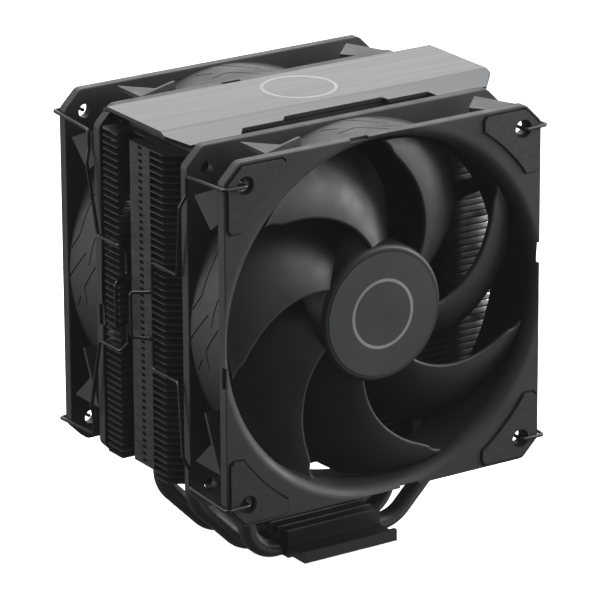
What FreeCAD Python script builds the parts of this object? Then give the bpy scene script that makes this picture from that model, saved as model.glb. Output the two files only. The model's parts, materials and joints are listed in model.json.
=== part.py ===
import FreeCAD, Part
import math
import os

from FreeCAD import Vector

os.makedirs("parts", exist_ok=True)

# Tower cooler for a computer processor: a fin stack on four heat pipes, a fan on each side.
# X is the width, Y the depth with the front fan towards -Y, Z up. Z = 0 is the contact face.

# ---- Driving dimensions, millimetres and degrees ----
FAN_SIZE = 120.0
FAN_DEPTH = 25.0
FAN_HOLE_PITCH = 105.0
STACK_HALF = 24.2            # each fan's inner face lies this far from the middle plane
FAN_Z = 88.5                 # height of both fan axes
FLANGE_T = 3.7
HUB_RADIUS = 22.8
BLADES = 7
TIP_RADIUS = 56.6
BORE_RADIUS = 57.6
DUCT_RADIUS = 59.4

FINS = 50
FIN_T = 0.4
FIN_BOTTOM = 33.0
FIN_TOP = 142.3
FIN_X = 60.0                 # outer edge of a fin, from the middle
FIN_Y = 24.0

PIPE_R = 3.0
PIPE_Z = 2.5                 # axis height in the base, so the pipes show a flat at Z = 0
PIPE_ROWS = (-14.6, -4.87, 4.87, 14.6)
NEAR_LEG = 30.6
NEAR_BEND = 11.0
FAR_LEG = 44.4
FAR_SLANT = 18.2             # width and height of the slanted run below a far leg
FAR_BEND = 12.0
PIPE_TOP = 143.6

BASE_HALF_X = 18.0
BASE_HALF_Y = 19.6
WING_HALF_Y = 29.5
BASE_TOP = 9.1

COVER_HALF_X = 62.0
COVER_TOP = 151.5
COVER_FLAT_Y = 16.0
COVER_DROP = 3.5
COVER_T = 1.2
COVER_BEND = 1.6

WIRE_R = 0.6                 # spring wire of the fan clips
BODY_GAP = 0.3

X_AXIS = Vector(1, 0, 0)
Y_AXIS = Vector(0, 1, 0)
Z_AXIS = Vector(0, 0, 1)


# ---- Helpers ----
def save(name, shapes):
    """Write one node: a single solid, or a group of separate solids."""
    if not isinstance(shapes, list):
        shapes = [shapes]
    solids = [solid for shape in shapes for solid in shape.Solids]
    for solid in solids:
        if not solid.isValid():
            print("invalid solid in", name)
    shape = solids[0] if len(solids) == 1 else Part.makeCompound(solids)
    shape.exportStep("parts/" + name + ".step")
    print(name, len(solids), round(shape.Volume, 1))


def box(x0, x1, y0, y1, z0, z1):
    return Part.makeBox(x1 - x0, y1 - y0, z1 - z0, Vector(x0, y0, z0))


def disc_y(radius, y0, y1, x=0.0, z=0.0):
    """Cylinder along Y."""
    return Part.makeCylinder(radius, y1 - y0, Vector(x, y0, z), Y_AXIS)


def ring_y(inner, outer, y0, y1):
    return disc_y(outer, y0, y1).cut(disc_y(inner, y0 - 1, y1 + 1))


def prism(points, along):
    """Closed outline of Vectors, extruded by a vector."""
    return Part.Face(Part.makePolygon(points + [points[0]])).extrude(along)


def spin_y(shape, degrees):
    turned = shape.copy()
    turned.rotate(Vector(0, 0, 0), Y_AXIS, degrees)
    return turned


def mirror_x(shape):
    return shape.mirror(Vector(0, 0, 0), X_AXIS)


def mirror_y(shape):
    return shape.mirror(Vector(0, 0, 0), Y_AXIS)


def revolve_y(profile):
    """Closed outline of (radius, y) pairs, turned about Y."""
    points = [Vector(radius, y, 0) for radius, y in profile]
    return Part.Face(Part.makePolygon(points + [points[0]])).revolve(Vector(0, 0, 0), Y_AXIS, 360)


def bent_path(points, bends):
    """Straight runs joined by tangent arcs; bends has one radius for each inner point."""
    edges = []
    start = points[0]
    for before, corner, after, bend in zip(points, points[1:], points[2:], bends):
        into = (corner - before).normalize()
        out = (after - corner).normalize()
        half_turn = into.getAngle(out) / 2
        reach = bend * math.tan(half_turn)
        arc_start = corner - into * reach
        arc_end = corner + out * reach
        inward = (out - into).normalize()
        middle = corner + inward * (bend / math.cos(half_turn) - bend)
        if (arc_start - start).Length > 1e-6:
            edges.append(Part.LineSegment(start, arc_start).toShape())
        edges.append(Part.Arc(arc_start, middle, arc_end).toShape())
        start = arc_end
    edges.append(Part.LineSegment(start, points[-1]).toShape())
    return Part.Wire(edges)


def tube_along(path, radius):
    first = path.Edges[0]
    start = first.valueAt(first.FirstParameter)
    direction = first.tangentAt(first.FirstParameter)
    profile = Part.Wire(Part.makeCircle(radius, start, direction))
    return path.makePipeShell([profile], True, False)


# ---- Base and heat pipes ----
RIDGE_T = 1.2
RIDGE_PITCH = 4.75
SLAB_TOP = 6.6
WING_BOTTOM = 1.3
CHANNEL_FLOOR = 3.8
LIP_TOP = 5.2
LIP_T = 1.6
WING_HOLE_Y = 25.0
WING_HOLE_R = 1.6
GROOVE_CLEARANCE = 0.02


def base_block():
    width = 2 * BASE_HALF_X
    slab = box(-BASE_HALF_X, BASE_HALF_X, -BASE_HALF_Y, BASE_HALF_Y, 0, SLAB_TOP)
    wings = box(-BASE_HALF_X, BASE_HALF_X, -WING_HALF_Y, WING_HALF_Y, WING_BOTTOM, CHANNEL_FLOOR)
    solid = slab.fuse(wings)
    for side in (-1, 1):
        outer = side * WING_HALF_Y
        inner = side * (WING_HALF_Y - LIP_T)
        lip = box(-BASE_HALF_X, BASE_HALF_X, min(outer, inner), max(outer, inner), WING_BOTTOM, LIP_TOP)
        solid = solid.fuse(lip)
    ridges = int(BASE_HALF_Y / RIDGE_PITCH)
    for number in range(-ridges, ridges + 1):
        centre = number * (BASE_HALF_Y - RIDGE_T / 2) / ridges
        ridge = Part.makeBox(width, RIDGE_T, BASE_TOP - SLAB_TOP,
                             Vector(-BASE_HALF_X, centre - RIDGE_T / 2, SLAB_TOP))
        solid = solid.fuse(ridge)
    for row in PIPE_ROWS:
        groove = Part.makeCylinder(PIPE_R + GROOVE_CLEARANCE, width + 2,
                                   Vector(-BASE_HALF_X - 1, row, PIPE_Z), X_AXIS)
        solid = solid.cut(groove)
    for side in (-1, 1):
        hole = Part.makeCylinder(WING_HOLE_R, BASE_TOP, Vector(0, side * WING_HOLE_Y, 0), Z_AXIS)
        solid = solid.cut(hole)
    return solid.removeSplitter()


def heat_pipe(row, near_side):
    """One bent pipe; near_side says which leg stands close to the base, -1 left or 1 right.

    The near leg turns up in one bend, the far leg in two with a slanted run between them.
    """
    far_side = -near_side
    points = [
        Vector(near_side * NEAR_LEG, row, PIPE_TOP),
        Vector(near_side * NEAR_LEG, row, PIPE_Z),
        Vector(far_side * (FAR_LEG - FAR_SLANT), row, PIPE_Z),
        Vector(far_side * FAR_LEG, row, PIPE_Z + FAR_SLANT),
        Vector(far_side * FAR_LEG, row, PIPE_TOP),
    ]
    pipe = tube_along(bent_path(points, (NEAR_BEND, FAR_BEND, FAR_BEND)), PIPE_R)
    for end in (points[0], points[-1]):
        pipe = pipe.fuse(Part.makeSphere(PIPE_R, end))
    under = box(-FAR_LEG, FAR_LEG, row - PIPE_R, row + PIPE_R, -PIPE_R, 0)
    return pipe.cut(under)


# ---- Fins ----
FIN_PITCH = (FIN_TOP - FIN_BOTTOM) / (FINS - 1)
LONG_EDGE_X = 45.3           # the long corner cut of a fin runs from here to the shoulder
SHOULDER_Y = 13.7
SHORT_CORNER_Y = 22.3
NOTCH_NEAR = 5.9
NOTCH_FAR = 13.4
NOTCH_DEPTH = 6.0
TAB_HALF = 5.9
TAB_T = 0.4
TAB_GAP = 0.06
SLOT_FRONT = -1.5
SLOT_REAR = 0.8
SLOT_HEIGHT = 1.0
FIN_HOLE_CLEARANCE = 0.02


def fin(with_tabs, notch_start):
    """One fin at Z = 0; a folded tab on each side spaces it from the next one below.

    Its outline is the same after half a turn: a long corner cut and a wire notch on each side,
    the notch running forward from notch_start.
    """
    half = [
        (LONG_EDGE_X, FIN_Y),
        (FIN_X, SHOULDER_Y),
        (FIN_X, notch_start),
        (FIN_X - NOTCH_DEPTH, notch_start),
        (FIN_X - NOTCH_DEPTH, -NOTCH_FAR),
        (FIN_X, -NOTCH_FAR),
        (FIN_X, -SHORT_CORNER_Y),
        (FIN_X - FIN_Y + SHORT_CORNER_Y, -FIN_Y),
    ]
    outline = [Vector(x, y, 0) for x, y in half]
    outline += [Vector(-x, -y, 0) for x, y in half]
    solid = prism(outline, Vector(0, 0, FIN_T))
    if with_tabs:
        tab_bottom = FIN_T - FIN_PITCH + TAB_GAP
        tab = box(FIN_X - TAB_T, FIN_X, -TAB_HALF, TAB_HALF, tab_bottom, FIN_T / 2)
        slot = box(FIN_X - 2 * TAB_T, FIN_X + TAB_T, SLOT_FRONT, SLOT_REAR, -SLOT_HEIGHT, 0)
        tab = tab.cut(slot)
        solid = solid.fuse([tab, mirror_x(tab)])
    for index, row in enumerate(PIPE_ROWS):
        near_side = -1 if index % 2 == 0 else 1
        for leg in (near_side * NEAR_LEG, -near_side * FAR_LEG):
            hole = Part.makeCylinder(PIPE_R + FIN_HOLE_CLEARANCE, 4 * FIN_T,
                                     Vector(leg, row, -FIN_T), Z_AXIS)
            solid = solid.cut(hole)
    return solid.removeSplitter()


def fin_stack():
    """All fins; the two lowest have no tabs, and the lowest is cut back where the tabs would be."""
    patterns = [fin(False, TAB_HALF), fin(False, -NOTCH_NEAR)]
    patterns += [fin(True, -NOTCH_NEAR)] * (FINS - len(patterns))
    return [pattern.translated(Vector(0, 0, FIN_BOTTOM + number * FIN_PITCH))
            for number, pattern in enumerate(patterns)]


# ---- Top cover and its carrier ----
SLOPE_HALF_Y = STACK_HALF - 0.1
CORNER_START_Y = 18.3
CORNER_CUT = 5.8
SHALLOW_HALF_X = 38.5
SHALLOW_Y = 21.3
DEEP_HALF_X = 18.5
DEEP_Y = 19.8
NOTCH_SLANT = 3.4            # the ends of the long edge notch slant in by this much
CARRIER_HALF_X = 51.6
CARRIER_BOTTOM = 142.9
CARRIER_WALL = 1.6
CARRIER_HALF_Y = 19.7
CARRIER_GAP = 0.05
CARRIER_DROP = 2.3
CARRIER_ROOF = 1.0
CARRIER_RIBS = (-9.73, 0.0, 9.73)
RIB_T = 1.2
RIB_BOTTOM = 144.5
RECESS_DEPTH = 1.0
RECESS_HALF_Y = 15.0
RECESS_EDGE = 2.0
COVER_RING_R = 12.5
COVER_RING_W = 1.1
COVER_RING_T = 0.2


def roof_outline(half_flat, half_foot, top, foot, x):
    """Roof section across Y at one X: a flat and two slopes, as Vectors from front to back."""
    return [Vector(x, -half_foot, foot), Vector(x, -half_flat, top),
            Vector(x, half_flat, top), Vector(x, half_foot, foot)]


def top_cover():
    foot = COVER_TOP - COVER_DROP
    outer = roof_outline(COVER_FLAT_Y, SLOPE_HALF_Y, COVER_TOP, foot, -COVER_HALF_X)
    inner = roof_outline(COVER_FLAT_Y - 0.2, SLOPE_HALF_Y - 0.4, COVER_TOP - COVER_T,
                         foot - COVER_T + 0.1, -COVER_HALF_X)
    cover = prism(outer + inner[::-1], Vector(2 * COVER_HALF_X, 0, 0))
    bends = [edge for edge in cover.Edges
             if edge.Length > COVER_HALF_X and abs(abs(edge.CenterOfMass.y) - COVER_FLAT_Y) < 0.5]
    cover = cover.makeFillet(COVER_BEND, bends)
    for side_x in (-1, 1):
        for side_y in (-1, 1):
            corner = [
                Vector(side_x * (COVER_HALF_X + 1), side_y * CORNER_START_Y, 0),
                Vector(side_x * COVER_HALF_X, side_y * CORNER_START_Y, 0),
                Vector(side_x * (COVER_HALF_X - CORNER_CUT), side_y * (CORNER_START_Y + CORNER_CUT), 0),
                Vector(side_x * (COVER_HALF_X - CORNER_CUT), side_y * (SLOPE_HALF_Y + 1), 0),
                Vector(side_x * (COVER_HALF_X + 1), side_y * (SLOPE_HALF_Y + 1), 0),
            ]
            cover = cover.cut(prism(corner, Vector(0, 0, 2 * COVER_TOP)))
    for side_y in (-1, 1):
        step = SHALLOW_Y - DEEP_Y
        notch = [
            Vector(-SHALLOW_HALF_X, side_y * (SLOPE_HALF_Y + 1), 0),
            Vector(-SHALLOW_HALF_X + NOTCH_SLANT, side_y * SHALLOW_Y, 0),
            Vector(-DEEP_HALF_X - step, side_y * SHALLOW_Y, 0),
            Vector(-DEEP_HALF_X, side_y * DEEP_Y, 0),
        ]
        notch += [Vector(-point.x, point.y, 0) for point in reversed(notch)]
        cover = cover.cut(prism(notch, Vector(0, 0, 2 * COVER_TOP)))
    ring = Part.makeCylinder(COVER_RING_R, COVER_RING_T, Vector(0, 0, COVER_TOP - COVER_RING_T))
    ring = ring.cut(Part.makeCylinder(COVER_RING_R - COVER_RING_W, 1, Vector(0, 0, COVER_TOP - 0.5)))
    return cover.cut(ring), ring


def cover_carrier():
    """Moulded tray between the top fin and the cover: a roof-shaped shell, open below."""
    top = COVER_TOP - COVER_T - CARRIER_GAP
    foot = top - CARRIER_DROP
    outer = roof_outline(COVER_FLAT_Y - 1, CARRIER_HALF_Y, top, foot, -CARRIER_HALF_X)
    outer = [Vector(-CARRIER_HALF_X, -CARRIER_HALF_Y, CARRIER_BOTTOM)] + outer
    outer.append(Vector(-CARRIER_HALF_X, CARRIER_HALF_Y, CARRIER_BOTTOM))
    shell = prism(outer, Vector(2 * CARRIER_HALF_X, 0, 0))
    inside = box(-CARRIER_HALF_X + CARRIER_WALL, CARRIER_HALF_X - CARRIER_WALL,
                 -CARRIER_HALF_Y + CARRIER_WALL, CARRIER_HALF_Y - CARRIER_WALL,
                 CARRIER_BOTTOM - 1, foot - CARRIER_ROOF)
    shell = shell.cut(inside)
    for side in (-1, 1):
        recess = box(-RECESS_DEPTH, RECESS_DEPTH, -RECESS_HALF_Y, RECESS_HALF_Y,
                     CARRIER_BOTTOM + RECESS_EDGE, top - RECESS_EDGE)
        recess.translate(Vector(side * CARRIER_HALF_X, 0, 0))
        shell = shell.cut(recess)
    for spread in CARRIER_RIBS:
        rib = box(-CARRIER_HALF_X + 1, CARRIER_HALF_X - 1, spread - RIB_T / 2, spread + RIB_T / 2,
                  RIB_BOTTOM, foot)
        shell = shell.fuse(rib)
    return shell.removeSplitter()


# ---- Fan: every function below works in the fan's own frame, front face at Y = 0 ----
CORNER_CHAMFER = 6.0
CORNER_ROUND = 3.0
HOLE_R = 2.3
MOUTH_DEPTH = 4.5
MOUTH_FLARE = 3.9
MOUTH_STEPS = 8
OUTLET_DEPTH = 3.5
OUTLET_FLARE = 1.55
STEP_WIDTH = 7.0
STEP_DEPTH = 1.0
STEP_REACH = 2.0
STEP_CENTRE = 9.5
MOUNT_R = 21.5
MOUNT_FRONT = 21.6
STRUTS = 4
STRUT_W = 4.0
STRUT_FRONT = 21.8
STRUT_OFFSET = 19.6          # each strut's middle line passes this far from the axis
STRUT_LEAN = 9.0
EDGE_ROUND = 0.4
PAD_DEPTH = 1.0
PAD_PROUD = 0.8              # the outward pads of each fan stand this far out of the frame
PAD_GAP = 0.6
PAD_HOLE_R = 3.1
PAD_NEAR = 37.0
PAD_FAR = 59.2
PAD_SUM = 112.9              # x + z along the cut corner of a pad seat
PAD_ARC = 65.2
PAD_BLUNT = 1.2
WEB_T = 1.4
WEB_FRONT = FLANGE_T - 0.2
# Webs and relief lines of the right-hand side as (y, z); the other sides repeat them by quarter turns.
TALL_WEB = ((WEB_FRONT, -52.0), (17.2, -46.0), (7.8, -37.2), (WEB_FRONT, -40.4))
LONG_WEB = ((WEB_FRONT, 42.3), (18.3, 42.2), (7.9, 32.8))
RIB_LINE = ((7.7, 33.4), (8.7, 33.6), (12.8, 24.4), (11.8, 24.0))
RIB_INNER_X = 53.0
RELIEF_LINES = (
    ((11.5, -8.3), (21.3, 2.4)),
    ((5.3, -5.1), (12.3, 3.6), (11.7, 10.0)),
    ((5.0, -16.5), (7.8, -13.5), (9.4, -4.5)),
    ((15.3, 7.5), (18.5, 12.0)),
    ((6.1, 15.3), (6.5, 19.0)),
    ((14.5, -29.0), (16.6, -13.0), (20.5, -7.5)),
)
RELIEF_W = 0.5
RELIEF_DEPTH = 0.5
RELIEF_MIDDLE_X = 57.0
LABEL_R = 17.0
LABEL_T = 0.2
POCKET_R = 4.0
POCKET_END = 24.2


def flange_plate(y0, y1):
    half = FAN_SIZE / 2
    plate = box(-half, half, y0, y1, -half, half)
    diagonal = 2 * half * math.sqrt(2) - CORNER_CHAMFER * math.sqrt(2)
    diamond = box(-diagonal / 2, diagonal / 2, y0, y1, -diagonal / 2, diagonal / 2)
    plate = plate.common(spin_y(diamond, 45))
    edges = [edge for edge in plate.Edges if abs(edge.tangentAt(edge.FirstParameter).y) > 0.9]
    plate = plate.makeFillet(CORNER_ROUND, edges)
    rim = [edge for face in plate.Faces if abs(face.normalAt(0, 0).y) > 0.9 for edge in face.Edges]
    plate = plate.makeFillet(EDGE_ROUND, rim)
    return plate


def front_steps():
    """Shallow step near the middle of each side of the front flange."""
    half = FAN_SIZE / 2
    step = box(half - STEP_DEPTH, half + 1, -1, STEP_REACH,
               STEP_CENTRE - STEP_WIDTH / 2, STEP_CENTRE + STEP_WIDTH / 2)
    return each_corner(step)


def mouth_cutter():
    """Bore with a rounded mouth at the front and a slight cone at the rear."""
    profile = [(0, -1), (BORE_RADIUS + MOUTH_FLARE, -1)]
    for index in range(MOUTH_STEPS + 1):
        turn = math.radians(90 * index / MOUTH_STEPS)
        radius = BORE_RADIUS + MOUTH_FLARE * (1 - math.sin(turn))
        profile.append((radius, MOUTH_DEPTH * (1 - math.cos(turn))))
    outlet = BORE_RADIUS + OUTLET_FLARE
    profile += [(BORE_RADIUS, FAN_DEPTH - OUTLET_DEPTH), (outlet, FAN_DEPTH), (outlet, FAN_DEPTH + 1),
                (0, FAN_DEPTH + 1)]
    return revolve_y(profile)


def corner_pad(y0, y1, gap):
    """Blunt triangle in the corner where X and Z are positive, hollowed by an arc about the axis."""
    far = PAD_FAR - gap
    near = PAD_NEAR + gap
    short = PAD_SUM - gap * math.sqrt(2) - far
    outline = [(far, near + PAD_BLUNT), (far - PAD_BLUNT, near), (near, near), (near, far - PAD_BLUNT),
               (near + PAD_BLUNT, far), (short, far), (far, short)]
    pad = prism([Vector(x, y0, z) for x, z in outline], Vector(0, y1 - y0, 0))
    return pad.cut(disc_y(PAD_ARC + gap, y0 - 1, y1 + 1))


def each_corner(shape):
    return [spin_y(shape, 90 * quarter) for quarter in range(4)]


def corner_holes(radius, y0, y1):
    return each_corner(disc_y(radius, y0, y1, FAN_HOLE_PITCH / 2, FAN_HOLE_PITCH / 2))


def side_webs():
    """Gussets flush with the side face, behind the front flange and close to the corners."""
    half = FAN_SIZE / 2
    webs = []
    for outline, inner in ((TALL_WEB, half - WEB_T), (LONG_WEB, half - WEB_T), (RIB_LINE, RIB_INNER_X)):
        points = [Vector(inner, y, z) for y, z in outline]
        webs += each_corner(prism(points, Vector(half - inner, 0, 0)))
    return webs


def relief_lines():
    """Narrow bent grooves on the outside of the duct, on all four sides."""
    skin = ring_y(DUCT_RADIUS - RELIEF_DEPTH, DUCT_RADIUS + 1, FLANGE_T, FAN_DEPTH - FLANGE_T)
    grooves = []
    for line in RELIEF_LINES:
        for (y0, z0), (y1, z1) in zip(line, line[1:]):
            length = math.hypot(y1 - y0, z1 - z0)
            strip = Part.makeBox(DUCT_RADIUS / 3, length, RELIEF_W,
                                 Vector(-DUCT_RADIUS / 6, -length / 2, -RELIEF_W / 2))
            strip.rotate(Vector(0, 0, 0), X_AXIS, math.degrees(math.atan2(z1 - z0, y1 - y0)))
            strip.translate(Vector(RELIEF_MIDDLE_X, (y0 + y1) / 2, (z0 + z1) / 2))
            grooves += each_corner(strip.common(skin))
    return grooves


def fan_frame():
    rear_flange = FAN_DEPTH - FLANGE_T
    duct = disc_y(DUCT_RADIUS, FLANGE_T / 2, FAN_DEPTH - FLANGE_T / 2)
    duct = duct.cut(Part.makeCompound(relief_lines()))
    flanges = [flange_plate(0, FLANGE_T), flange_plate(rear_flange, FAN_DEPTH)]
    frame = duct.fuse(flanges + side_webs())
    frame = frame.cut(mouth_cutter())
    cutters = corner_holes(HOLE_R, -1, FAN_DEPTH + 1) + front_steps()
    cutters += each_corner(corner_pad(-1, PAD_DEPTH, 0))
    cutters += each_corner(corner_pad(FAN_DEPTH - PAD_DEPTH, FAN_DEPTH + 1, 0))
    frame = frame.cut(Part.makeCompound(cutters))
    mount = disc_y(MOUNT_R, MOUNT_FRONT, FAN_DEPTH)
    strut = box(0, FAN_SIZE / 2, STRUT_FRONT, FAN_DEPTH,
                STRUT_OFFSET - STRUT_W / 2, STRUT_OFFSET + STRUT_W / 2)
    strut = strut.common(disc_y(BORE_RADIUS + OUTLET_FLARE, 0, FAN_DEPTH))
    struts = [spin_y(strut, -STRUT_LEAN + index * 360 / STRUTS) for index in range(STRUTS)]
    frame = frame.fuse([mount] + struts)
    pocket = disc_y(POCKET_R, MOUNT_FRONT - 1, POCKET_END)
    label_seat = disc_y(LABEL_R + 0.1, FAN_DEPTH - LABEL_T - 0.05, FAN_DEPTH + 1)
    return frame.cut(Part.makeCompound([pocket, label_seat])).removeSplitter()


def frame_pads(y0, y1):
    pad = corner_pad(y0, y1, PAD_GAP)
    pad = pad.cut(disc_y(PAD_HOLE_R, y0 - 1, y1 + 1, FAN_HOLE_PITCH / 2, FAN_HOLE_PITCH / 2))
    return each_corner(pad)


# ---- Rotor ----
HUB_FACE = 1.5
HUB_REAR = 20.4
HUB_WALL = 1.4
CUP_FLOOR = 2.0
DISC_R = 20.4
DISC_T = 1.1
DISC_FIT = 0.1
BRIM_DROP = 0.2
BRIM_W = 0.5
HUB_ROUND = 2.4
HUB_STEPS = 5
BLADE_FRONT = 3.4
BLADE_ROOT_R = 22.0
SWEEP = ((24.0, -1.0), (37.0, 13.5), (47.0, 26.9), (56.0, 40.0))   # leading edge: radius, angle
BLADE_SPAN = 46.0            # angle that a blade covers, seen along the axis
BLADE_HEIGHT = 16.4
BLADE_T = 1.9
BLADE_TAPER = 0.55           # share of the thickness lost from leading to trailing edge
CAMBER = 0.75                # share of the rise that comes late on the chord
BLADE_STATIONS = 9
NOSE_ROUND = 0.8
CORNER_START_R = 48.0        # both outer corners of a blade are cut back beyond this radius
LEAD_CUT = 0.065             # shares of the chord lost at the tip
TRAIL_CUT = 0.21


def leading_angle(radius):
    """Angle of the leading edge at a radius: the cubic through the four SWEEP stations."""
    total = 0.0
    for index, (station, angle) in enumerate(SWEEP):
        weight = 1.0
        for other, (base, _) in enumerate(SWEEP):
            if other != index:
                weight *= (radius - base) / (station - base)
        total += weight * angle
    return total


def blade_point(radius, chord, side):
    """Point on a blade: chord runs 0..1 from the leading edge, side is -1 front or 1 back."""
    corner = max(0.0, (radius - CORNER_START_R) / (TIP_RADIUS - CORNER_START_R)) ** 2
    share = LEAD_CUT * corner + chord * (1 - (LEAD_CUT + TRAIL_CUT) * corner)
    rise = (1 - CAMBER) * share + CAMBER * share ** 2
    slope = BLADE_HEIGHT * (1 - CAMBER + 2 * CAMBER * share) / (radius * math.radians(BLADE_SPAN))
    thickness = BLADE_T * (1 - BLADE_TAPER * chord)
    offset = side * thickness / 2
    tilt = math.atan(slope)
    turn = math.radians(leading_angle(radius) - BLADE_SPAN * share) + offset * math.sin(tilt) / radius
    y = BLADE_FRONT + BLADE_HEIGHT * rise + offset * math.cos(tilt)
    return Vector(radius * math.cos(turn), y, radius * math.sin(turn))


def blade():
    chords = [index / (BLADE_STATIONS - 1) for index in range(BLADE_STATIONS)]
    radii = [BLADE_ROOT_R + (TIP_RADIUS - BLADE_ROOT_R) * share for share in chords]
    skins = []
    for side in (-1, 1):
        surface = Part.BSplineSurface()
        surface.interpolate([[blade_point(radius, chord, side) for chord in chords] for radius in radii])
        skins.append(surface)
    front, back = skins
    faces = [front.toShape(), back.toShape()]
    low_u, high_u, low_v, high_v = front.bounds()
    for end in (low_u, high_u):
        faces.append(Part.makeRuledSurface(front.uIso(end).toShape(), back.uIso(end).toShape()))
    for end in (low_v, high_v):
        faces.append(Part.makeRuledSurface(front.vIso(end).toShape(), back.vIso(end).toShape()))
    sewn = Part.makeCompound(faces)
    sewn.sewShape()
    shell = sewn.Shells[0]
    shell.reverse()
    solid = Part.Solid(shell)
    nose = [edge for edge in solid.Edges
            if edge.Length > TIP_RADIUS / 2 and edge.CenterOfMass.y < BLADE_FRONT + BLADE_T]
    return solid.makeFillet(NOSE_ROUND, nose)


def rotor():
    """Moulded hub cup with its blades."""
    seat = HUB_FACE + DISC_T
    brim = HUB_FACE + BRIM_DROP
    profile = [(0, seat), (DISC_R + DISC_FIT, seat), (DISC_R + DISC_FIT, brim)]
    for index in range(HUB_STEPS + 1):
        turn = math.radians(90 * index / HUB_STEPS)
        radius = HUB_RADIUS - (HUB_RADIUS - DISC_R - BRIM_W) * (1 - math.sin(turn))
        profile.append((radius, brim + HUB_ROUND * (1 - math.cos(turn))))
    profile += [(HUB_RADIUS, HUB_REAR), (HUB_RADIUS - HUB_WALL, HUB_REAR),
                (HUB_RADIUS - HUB_WALL, seat + CUP_FLOOR), (0, seat + CUP_FLOOR)]
    hub = revolve_y(profile)
    pattern = blade()
    blades = [spin_y(pattern, -360 * index / BLADES) for index in range(BLADES)]
    return hub.fuse(blades)


# ---- Motor ----
PART_FIT = 0.02              # between parts that are pressed or glued together
RUNNING_FIT = 0.03
SHAFT_R = 1.5
SHAFT_END = 23.6
BEARING_R = 4.0
BEARING_FRONT = 9.0
TUBE_R = 5.4
TUBE_FRONT = 8.5
YOKE_FRONT = HUB_FACE + DISC_T + CUP_FLOOR + PART_FIT
YOKE_REAR = 19.8
YOKE_R = HUB_RADIUS - HUB_WALL - PART_FIT
YOKE_T = 0.8
MAGNET_FRONT = 7.5
MAGNET_REAR = 19.4
MAGNET_R = YOKE_R - YOKE_T - PART_FIT
MAGNET_T = 1.8
CORE_FRONT = 10.0
CORE_REAR = 16.0
CORE_RING_R = 8.2
SHOE_INNER_R = 15.0
CORE_R = 17.6
POLES = 4
SHOE_HALF_ANGLE = 37.5
ARM_HALF = 2.0
COIL_HALF = 4.2
COIL_INNER = 9.4
COIL_OUTER = 14.4
COIL_OVERHANG = 1.8
COIL_FIT = 0.1
BOARD_FRONT = 18.8
BOARD_T = 1.0
BOARD_R = 16.5
COLLAR_R = 2.6
COLLAR_FRONT = MOUNT_FRONT + 0.4
COLLAR_REAR = MOUNT_FRONT + 0.9
NECK_DEPTH = 0.3
RING_INNER_R = 10.6
RING_OUTER_R = 11.6
RING_T = 0.2


def stator():
    """Laminated core with four shoes, and the four windings on its arms."""
    core = ring_y(TUBE_R + PART_FIT, CORE_RING_R, CORE_FRONT, CORE_REAR)
    arm = box(-ARM_HALF, ARM_HALF, CORE_FRONT, CORE_REAR, CORE_RING_R - 0.7, SHOE_INNER_R + 0.5)
    reach = 2 * CORE_R
    spread = reach * math.tan(math.radians(SHOE_HALF_ANGLE))
    wedge = prism([Vector(0, CORE_FRONT, 0), Vector(-spread, CORE_FRONT, reach),
                   Vector(spread, CORE_FRONT, reach)], Vector(0, CORE_REAR - CORE_FRONT, 0))
    pole = arm.fuse(ring_y(SHOE_INNER_R, CORE_R, CORE_FRONT, CORE_REAR).common(wedge))
    core = core.fuse([spin_y(pole, index * 360 / POLES) for index in range(POLES)]).removeSplitter()
    coil = box(-COIL_HALF, COIL_HALF, CORE_FRONT - COIL_OVERHANG, CORE_REAR + COIL_OVERHANG,
               COIL_INNER, COIL_OUTER)
    edges = [edge for edge in coil.Edges if abs(edge.tangentAt(edge.FirstParameter).z) > 0.9]
    coil = coil.makeFillet(COIL_OVERHANG - 0.3, edges)
    coil = coil.cut(box(-ARM_HALF - COIL_FIT, ARM_HALF + COIL_FIT, CORE_FRONT - COIL_FIT,
                        CORE_REAR + COIL_FIT, COIL_INNER - 1, COIL_OUTER + 1))
    return core, [spin_y(coil, index * 360 / POLES) for index in range(POLES)]


def motor_parts():
    """Parts of one fan motor by name: first those that stand still, then those that turn."""
    core, coils = stator()
    still = {
        "bearing_tube": ring_y(BEARING_R + PART_FIT, TUBE_R, TUBE_FRONT, MOUNT_FRONT),
        "sleeve_bearing": ring_y(SHAFT_R + RUNNING_FIT, BEARING_R, BEARING_FRONT, MOUNT_FRONT - 0.1),
        "stator_core": core,
        "stator_coils": coils,
        "circuit_board": ring_y(TUBE_R + PART_FIT, BOARD_R, BOARD_FRONT, BOARD_FRONT + BOARD_T),
        "blank_label": disc_y(LABEL_R, FAN_DEPTH - LABEL_T, FAN_DEPTH),
    }
    yoke = disc_y(YOKE_R, YOKE_FRONT, YOKE_REAR)
    yoke = yoke.cut(disc_y(YOKE_R - YOKE_T, YOKE_FRONT + YOKE_T, YOKE_REAR + 1))
    shaft = disc_y(SHAFT_R, YOKE_FRONT + YOKE_T, SHAFT_END)
    shaft = shaft.cut(ring_y(SHAFT_R - NECK_DEPTH, 2 * SHAFT_R, COLLAR_FRONT, COLLAR_REAR))
    hub_ring = ring_y(RING_INNER_R, RING_OUTER_R, HUB_FACE, HUB_FACE + RING_T)
    turning = {
        "motor_yoke": yoke,
        "magnet_ring": ring_y(MAGNET_R - MAGNET_T, MAGNET_R, MAGNET_FRONT, MAGNET_REAR),
        "shaft": shaft,
        "retaining_ring": ring_y(SHAFT_R - NECK_DEPTH + PART_FIT, COLLAR_R, COLLAR_FRONT, COLLAR_REAR),
        "hub_disc": disc_y(DISC_R, HUB_FACE, HUB_FACE + DISC_T).cut(hub_ring),
        "hub_ring": hub_ring,
    }
    return still, turning


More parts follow.
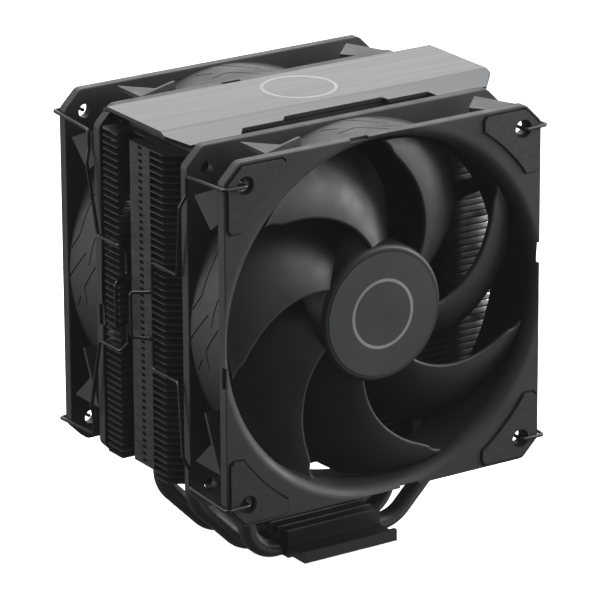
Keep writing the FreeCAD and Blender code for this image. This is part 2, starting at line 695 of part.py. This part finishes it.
# ---- Wire clips ----
HOOK = FAN_HOLE_PITCH / 2
HOOK_REACH = 4.2
RUN_X = FAN_SIZE / 2 + WIRE_R + 0.4
FACE_Y = STACK_HALF + FAN_DEPTH + PAD_PROUD + WIRE_R + BODY_GAP
FLANK_Y = 29.2               # where the wire crosses the side of the fan, between its flanges
KNEE = (RUN_X + 1.7, 27.9, 41.5)
WAIST_Z = 17.8
WAIST = (RUN_X + 0.4, 23.8, WAIST_Z)
NOTCH_X = FIN_X - 1.4
NOTCH_Y = 10.8
NOTCH_LOOP = (65.4, 6.8)
PLAIN_X = RUN_X + 0.2
PLAIN_Y = 8.4
PLAIN_LOOP = (66.2, 3.4)
LOOP_ROOT_Z = 7.8
LOOP_TIP_Z = 7.4
CLIP_BEND = 1.2


def clip(waist, loop_root, loop_tip):
    """Clip on the right side of a fan that faces +Y; half of it is listed, the rest mirrors in Z.

    waist lists the (x, y, z) points where the wire crosses to its straight part on the fin stack;
    the finger loop runs from loop_root to loop_tip, both (x, y).
    """
    half = [
        (HOOK, FACE_Y - HOOK_REACH, HOOK),
        (HOOK, FACE_Y, HOOK),
        (RUN_X, FACE_Y, HOOK + 0.2),
        (RUN_X, FLANK_Y, HOOK - 0.9),
        (RUN_X, FLANK_Y, HOOK - 6.9),
        KNEE,
        WAIST,
    ]
    half += waist
    half += [(*loop_root, LOOP_ROOT_Z), (*loop_tip, LOOP_TIP_Z)]
    half = [Vector(*point) for point in half]
    points = half + [Vector(point.x, point.y, -point.z) for point in reversed(half)]
    path = bent_path(points, [CLIP_BEND] * (len(points) - 2))
    return tube_along(path, WIRE_R).translated(Vector(0, 0, FAN_Z))


# ---- Write every node ----
save("base_block", base_block())
for index, row in enumerate(PIPE_ROWS):
    save("heat_pipe_" + str(index + 1), heat_pipe(row, -1 if index % 2 == 0 else 1))
save("fin_stack", fin_stack())
cover, cover_ring = top_cover()
save("top_cover", cover)
save("cover_ring", cover_ring)
save("cover_carrier", cover_carrier())

frame = fan_frame()
wheel = rotor()
still_parts, turning_parts = motor_parts()
for fan, front_face in (("front_fan", -STACK_HALF - FAN_DEPTH), ("rear_fan", STACK_HALF)):
    place = Vector(0, front_face, FAN_Z)
    front_proud, rear_proud = (PAD_PROUD, 0) if fan == "front_fan" else (0, PAD_PROUD)
    nodes = {"frame": frame, "rotor": wheel, "front_pads": frame_pads(-front_proud, PAD_DEPTH),
             "rear_pads": frame_pads(FAN_DEPTH - PAD_DEPTH, FAN_DEPTH + rear_proud)}
    nodes.update(still_parts)
    nodes.update(turning_parts)
    for part, shapes in nodes.items():
        shapes = shapes if isinstance(shapes, list) else [shapes]
        save(fan + "_" + part, [shape.translated(place) for shape in shapes])

# On each side one clip lies in the fins' wire notch and the other on the plain edge.
notch_clip = clip([(RUN_X, NOTCH_Y + 0.8, WAIST_Z), (NOTCH_X, NOTCH_Y + 0.2, WAIST_Z - 2.2)],
                  (NOTCH_X, NOTCH_Y), NOTCH_LOOP)
plain_clip = clip([(PLAIN_X, PLAIN_Y + 0.2, WAIST_Z)], (PLAIN_X, PLAIN_Y), PLAIN_LOOP)
save("rear_clip_right", plain_clip)
save("rear_clip_left", mirror_x(notch_clip))
save("front_clip_right", mirror_y(notch_clip))
save("front_clip_left", mirror_x(mirror_y(plain_clip)))
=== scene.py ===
"""Looks of the CPU tower cooler: materials, light and camera round the CAD frame."""
import json
import math

import bpy
from mathutils import Matrix, Vector

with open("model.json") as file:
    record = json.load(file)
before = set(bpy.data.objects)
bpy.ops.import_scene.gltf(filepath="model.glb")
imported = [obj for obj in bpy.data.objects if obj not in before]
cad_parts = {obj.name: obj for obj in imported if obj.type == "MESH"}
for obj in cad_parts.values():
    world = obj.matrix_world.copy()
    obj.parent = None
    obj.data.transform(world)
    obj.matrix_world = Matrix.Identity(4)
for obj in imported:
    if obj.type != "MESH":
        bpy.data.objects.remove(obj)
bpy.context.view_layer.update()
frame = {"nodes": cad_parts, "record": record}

nodes = frame["nodes"]

# Camera: a long lens from the front left, a little above the object. Angles are in degrees.
CAMERA_AZIMUTH = -33.302
CAMERA_ELEVATION = 19.160
CAMERA_ROLL = -0.299
CAMERA_DISTANCE = 1.58988
CAMERA_TARGET = Vector((-0.00154, -0.00236, 0.08038))
LENS = 294.96
SENSOR_WIDTH = 36.0
FAR_CLIP = 20.0

# Floor
FLOOR_SIZE = 8.0
FLOOR_DROP = 0.0005      # keeps the floor just under the base
FLOOR_SHADE = 0.9
FLOOR_WASH = 3.4

# Backdrop: direction of its bright side, and (place, shade) stops from the dark side to that one
BRIGHT_SIDE = (0.65, 0.29, 0.7)
BACKDROP = ((0.2, 0.07), (0.7, 0.2), (0.88, 0.9))
BLACK_LIFT = 0.0062      # deep shade ends a little above black

# Soft lights: name, place, aim, size and power
LIGHTS = (
    ("above", (-0.2, 0.4, 1.15), (0, 0, 0.1), (1.2, 0.7), 12),
    ("behind", (0.75, 1.15, 0.7), (0, 0, 0.1), (1.6, 0.9), 7.6),
    ("right", (1.1, -0.3, 0.3), (0, 0, 0.09), (0.6, 0.6), 9),
    ("left_behind", (-1.1, 0.6, 0.3), (0, 0, 0.1), (0.9, 0.9), 8),
    ("key_near", (0.21, -0.22, 0.26), (0.01, -0.05, 0.1), (0.26, 0.26), 0.6),
    ("bounce", (0.45, -0.55, -0.35), (0, 0, 0.08), (0.8, 0.4), 0.65),
    ("cover_strip", (0.4, 0.1, 1.0), (0, 0, 0.15), (0.6, 0.5), 5.2),
)

# Moulded plastics: colour, roughness and grain scale
PLASTICS = {
    "tray_plastic": ((0.015, 0.015, 0.016), 0.5, 1800.0),
    "marking": ((0.26, 0.265, 0.265), 0.5, 4000.0),
    "frame_plastic": ((0.026, 0.026, 0.028), 0.56, 2600.0),
    "rotor_plastic": ((0.008, 0.008, 0.009), 0.48, 1500.0),
    "hub_plastic": ((0.038, 0.04, 0.042), 0.5, 3000.0),
    "board": ((0.02, 0.07, 0.04), 0.3, 2000.0),
    "label": ((0.05, 0.05, 0.052), 0.45, 2500.0),
    "magnet": ((0.05, 0.045, 0.045), 0.6, 1500.0),
}

# Plain metals: colour, roughness and grain scale
PLAIN_METALS = {
    "bearing_brass": ((0.7, 0.5, 0.26), 0.32, 900.0),
    "core_steel": ((0.42, 0.42, 0.43), 0.4, 1200.0),
    "coil_copper": ((0.6, 0.25, 0.1), 0.35, 1500.0),
    "shaft_steel": ((0.7, 0.7, 0.72), 0.2, 1500.0),
    "clip_wire": ((0.06, 0.06, 0.063), 0.32, 700.0),
}
SMOOTHER = 0.06          # how far roughness strays below its own value
ROUGHER = 0.08           # and above it
NOISE_LOW, NOISE_HIGH = 0.3, 0.7      # the part of a noise that carries the change


# ---- Camera and stage ----
def place_camera():
    azimuth, elevation, roll = map(math.radians, (CAMERA_AZIMUTH, CAMERA_ELEVATION, CAMERA_ROLL))
    back = Vector((math.sin(azimuth) * math.cos(elevation),
                   -math.cos(azimuth) * math.cos(elevation), math.sin(elevation)))
    level = Vector((math.cos(azimuth), math.sin(azimuth), 0))
    upward = back.cross(level)
    right = level * math.cos(roll) + upward * math.sin(roll)
    up = upward * math.cos(roll) - level * math.sin(roll)
    data = bpy.data.cameras.new("camera")
    data.lens = LENS
    data.sensor_width = SENSOR_WIDTH
    data.clip_end = FAR_CLIP
    camera = bpy.data.objects.new("camera", data)
    rotation = Matrix((right, up, back)).transposed().to_4x4()
    camera.matrix_world = Matrix.Translation(CAMERA_TARGET + back * CAMERA_DISTANCE) @ rotation
    bpy.context.scene.collection.objects.link(camera)
    bpy.context.scene.camera = camera


def collection_of(name, thing):
    """A collection outside the scene, for linking a light to one thing."""
    made = bpy.data.collections.new(name)
    made.objects.link(thing)
    return made


def make_floor():
    """Pale floor with a light of its own; the object neither mirrors it nor shades that light."""
    bpy.ops.mesh.primitive_plane_add(size=FLOOR_SIZE, location=(0, 0, -FLOOR_DROP))
    floor = bpy.context.object
    floor.name = "floor"
    floor.visible_diffuse = False
    floor.visible_glossy = False
    floor.visible_shadow = False
    paint = bpy.data.materials.new("floor_white")
    paint.use_nodes = True
    shader = paint.node_tree.nodes["Principled BSDF"]
    shader.inputs["Base Color"].default_value = (FLOOR_SHADE, FLOOR_SHADE, FLOOR_SHADE, 1)
    shader.inputs["Roughness"].default_value = 0.9
    floor.data.materials.append(paint)
    only_floor = collection_of("only_floor", floor)
    wash_data = bpy.data.lights.new("floor_wash", "SUN")
    wash_data.energy = FLOOR_WASH
    wash = bpy.data.objects.new("floor_wash", wash_data)
    bpy.context.scene.collection.objects.link(wash)
    wash.light_linking.receiver_collection = only_floor
    wash.light_linking.blocker_collection = only_floor


def make_backdrop():
    """Grey studio: bright above and to the right, dim in front and below."""
    world = bpy.data.worlds.new("studio")
    world.use_nodes = True
    tree = world.node_tree
    coords = tree.nodes.new("ShaderNodeTexCoord")
    facing = tree.nodes.new("ShaderNodeVectorMath")
    facing.operation = "DOT_PRODUCT"
    facing.inputs[1].default_value = BRIGHT_SIDE
    spread = tree.nodes.new("ShaderNodeMapRange")
    spread.inputs["From Min"].default_value = -1
    ramp = tree.nodes.new("ShaderNodeValToRGB")
    tree.links.new(coords.outputs["Generated"], facing.inputs[0])
    tree.links.new(facing.outputs["Value"], spread.inputs["Value"])
    tree.links.new(spread.outputs["Result"], ramp.inputs["Fac"])
    tree.links.new(ramp.outputs["Color"], tree.nodes["Background"].inputs["Color"])
    stops = ramp.color_ramp.elements
    stops.new(0.5)
    for stop, (place, shade) in zip(stops, BACKDROP):
        stop.position = place
        stop.color = (shade, shade, shade, 1)
    bpy.context.scene.world = world


def set_view():
    view = bpy.context.scene.view_settings
    view.view_transform = "Standard"
    view.use_curve_mapping = True
    view.curve_mapping.black_level = (-BLACK_LIFT,) * 3
    view.curve_mapping.update()


def area_light(name, place, aim, size, power):
    data = bpy.data.lights.new(name, "AREA")
    data.shape = "RECTANGLE"
    data.size, data.size_y = size
    data.energy = power
    light = bpy.data.objects.new(name, data)
    light.visible_camera = False
    light.location = place
    light.rotation_euler = (Vector(aim) - Vector(place)).to_track_quat("-Z", "Y").to_euler()
    bpy.context.scene.collection.objects.link(light)
    return light


def make_stage():
    make_floor()
    make_backdrop()
    set_view()
    lights = {light[0]: area_light(*light) for light in LIGHTS}
    only_cover = collection_of("only_cover", nodes["top_cover"])
    lights["cover_strip"].light_linking.receiver_collection = only_cover


# ---- Materials ----
class Recipe:
    """A node material built step by step on one Principled shader."""

    def __init__(self, name, color, roughness, metallic=0.0):
        self.material = bpy.data.materials.new(name)
        self.material.use_nodes = True
        self.tree = self.material.node_tree
        self.shader = self.tree.nodes["Principled BSDF"]
        self.shader.inputs["Base Color"].default_value = (*color, 1)
        self.shader.inputs["Roughness"].default_value = roughness
        self.shader.inputs["Metallic"].default_value = metallic

    def link(self, source, target):
        self.tree.links.new(source, target)

    def noise(self, scale, detail=3.0, stretch=(1, 1, 1)):
        """Noise over the object's own coordinates, in metres; stretch scales each axis."""
        coords = self.tree.nodes.new("ShaderNodeTexCoord")
        mapping = self.tree.nodes.new("ShaderNodeMapping")
        mapping.inputs["Scale"].default_value = stretch
        self.link(coords.outputs["Object"], mapping.inputs["Vector"])
        made = self.tree.nodes.new("ShaderNodeTexNoise")
        made.inputs["Scale"].default_value = scale
        made.inputs["Detail"].default_value = detail
        self.link(mapping.outputs["Vector"], made.inputs["Vector"])
        return made.outputs["Fac"]

    def vary_color(self, low, high, scale, detail=3.0, stretch=(1, 1, 1)):
        ramp = self.tree.nodes.new("ShaderNodeValToRGB")
        first, last = ramp.color_ramp.elements
        first.position, last.position = NOISE_LOW, NOISE_HIGH
        first.color, last.color = (*low, 1), (*high, 1)
        self.link(self.noise(scale, detail, stretch), ramp.inputs["Fac"])
        self.link(ramp.outputs["Color"], self.shader.inputs["Base Color"])

    def vary_roughness(self, low, high, scale, detail=3.0, stretch=(1, 1, 1)):
        spread = self.tree.nodes.new("ShaderNodeMapRange")
        spread.inputs["From Min"].default_value = NOISE_LOW
        spread.inputs["From Max"].default_value = NOISE_HIGH
        spread.inputs["To Min"].default_value = low
        spread.inputs["To Max"].default_value = high
        self.link(self.noise(scale, detail, stretch), spread.inputs["Value"])
        self.link(spread.outputs["Result"], self.shader.inputs["Roughness"])

    def bump(self, source, height, strength):
        """Fine relief; height is in metres."""
        made = self.tree.nodes.new("ShaderNodeBump")
        made.inputs["Strength"].default_value = strength
        made.inputs["Distance"].default_value = height
        self.link(source, made.inputs["Height"])
        self.link(made.outputs["Normal"], self.shader.inputs["Normal"])


def moulded_plastic(name, color, roughness, grain):
    """Moulded plastic with a fine spark-eroded grain and faint flow patches."""
    recipe = Recipe(name, color, roughness)
    recipe.vary_color([c * 0.8 for c in color], [c * 1.25 for c in color], 60.0, 4.0)
    recipe.vary_roughness(roughness - SMOOTHER, roughness + ROUGHER, 140.0)
    recipe.bump(recipe.noise(grain, 2.0), 0.00004, 0.5)
    return recipe.material


def plain_metal(name, color, roughness, grain):
    recipe = Recipe(name, color, roughness, 1.0)
    recipe.vary_color([c * 0.85 for c in color], [min(1, c * 1.1) for c in color], 200.0)
    recipe.vary_roughness(roughness - SMOOTHER, roughness + ROUGHER, grain)
    recipe.bump(recipe.noise(grain), 0.00002, 0.4)
    return recipe.material


def pad_rubber():
    recipe = Recipe("pad_rubber", (0.024, 0.024, 0.026), 0.7)
    recipe.vary_color((0.02, 0.02, 0.022), (0.034, 0.034, 0.036), 400.0, 5.0)
    recipe.vary_roughness(0.62, 0.8, 900.0)
    recipe.bump(recipe.noise(3500.0, 2.0), 0.00005, 0.6)
    return recipe.material


def cover_metal():
    """Dark anodised aluminium, brushed along X."""
    strokes = (0.012, 1, 1)
    recipe = Recipe("cover_metal", (0.081, 0.083, 0.085), 0.38, 1.0)
    recipe.vary_color((0.077, 0.079, 0.081), (0.087, 0.089, 0.091), 2200.0, 6.0, strokes)
    recipe.vary_roughness(0.34, 0.44, 1600.0, 4.0, strokes)
    recipe.bump(recipe.noise(3000.0, 4.0, strokes), 0.00002, 0.5)
    return recipe.material


def fin_metal():
    """Black-coated sheet with faint level bands."""
    recipe = Recipe("fin_metal", (0.06, 0.061, 0.063), 0.42, 0.6)
    recipe.vary_color((0.05, 0.051, 0.053), (0.072, 0.073, 0.075), 90.0, 5.0, (1, 1, 6))
    recipe.vary_roughness(0.3, 0.46, 300.0)
    recipe.bump(recipe.noise(700.0), 0.00003, 0.4)
    return recipe.material


def pipe_metal():
    """Coated tube, its finish drawn out along Z."""
    recipe = Recipe("pipe_metal", (0.062, 0.063, 0.065), 0.42, 0.6)
    recipe.vary_color((0.052, 0.053, 0.055), (0.074, 0.075, 0.077), 80.0)
    recipe.vary_roughness(0.36, 0.5, 220.0, 4.0, (1, 1, 0.2))
    recipe.bump(recipe.noise(420.0), 0.00003, 0.4)
    return recipe.material


def base_metal():
    """Milled block with tool marks along X."""
    recipe = Recipe("base_metal", (0.01, 0.011, 0.012), 0.52, 0.2)
    recipe.vary_color((0.008, 0.009, 0.01), (0.013, 0.014, 0.015), 120.0)
    recipe.vary_roughness(0.42, 0.56, 1300.0, 3.0, (0.03, 1, 1))
    recipe.bump(recipe.noise(1800.0, 3.0, (0.02, 1, 1)), 0.00003, 0.5)
    return recipe.material


def make_materials():
    """One material for each slot in the record."""
    own_recipes = (base_metal, pipe_metal, fin_metal, cover_metal, pad_rubber)
    made = {recipe.__name__: recipe() for recipe in own_recipes}
    for name, values in PLASTICS.items():
        made[name] = moulded_plastic(name, *values)
    for name, values in PLAIN_METALS.items():
        made[name] = plain_metal(name, *values)
    return made


def dress_nodes():
    """Give every CAD node the material of its slot in the record."""
    materials = make_materials()
    slots = {part["node"]: part["material_slot"] for part in frame["record"]["subparts"]}
    for name, thing in nodes.items():
        thing.data.materials.clear()
        thing.data.materials.append(materials[slots[name]])


place_camera()
make_stage()
dress_nodes()
